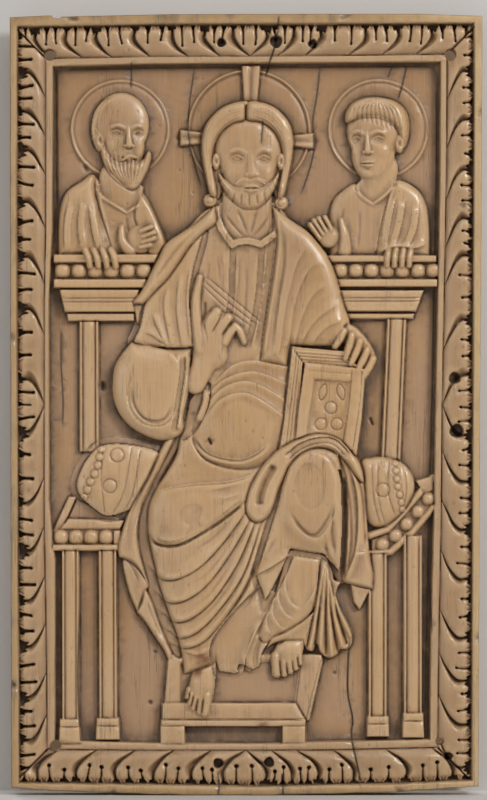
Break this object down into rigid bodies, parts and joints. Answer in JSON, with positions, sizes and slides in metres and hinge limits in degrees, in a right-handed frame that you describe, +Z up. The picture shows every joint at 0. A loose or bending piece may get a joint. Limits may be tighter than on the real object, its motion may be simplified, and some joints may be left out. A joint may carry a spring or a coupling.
{
  "type": "carved ivory relief plaque",
  "caption": "Upright rectangular ivory panel in low relief: an enthroned robed figure with a book, half figures on balconies above, and an acanthus leaf border.",
  "frame": {"origin": "middle of the flat back face, where the panel lies against what carries it", "axes": "+Z up along the panel's height, +X to the right seen from the front, +Y out of the back face into what carries it, so the carving faces -Y"},
  "size_m": [0.1419, 0.01, 0.2346],
  "materials": {
    "ivory": "satin"
  },
  "bodies": {
    "root": {"plaque": "ivory"}
  },
  "joints": []
}
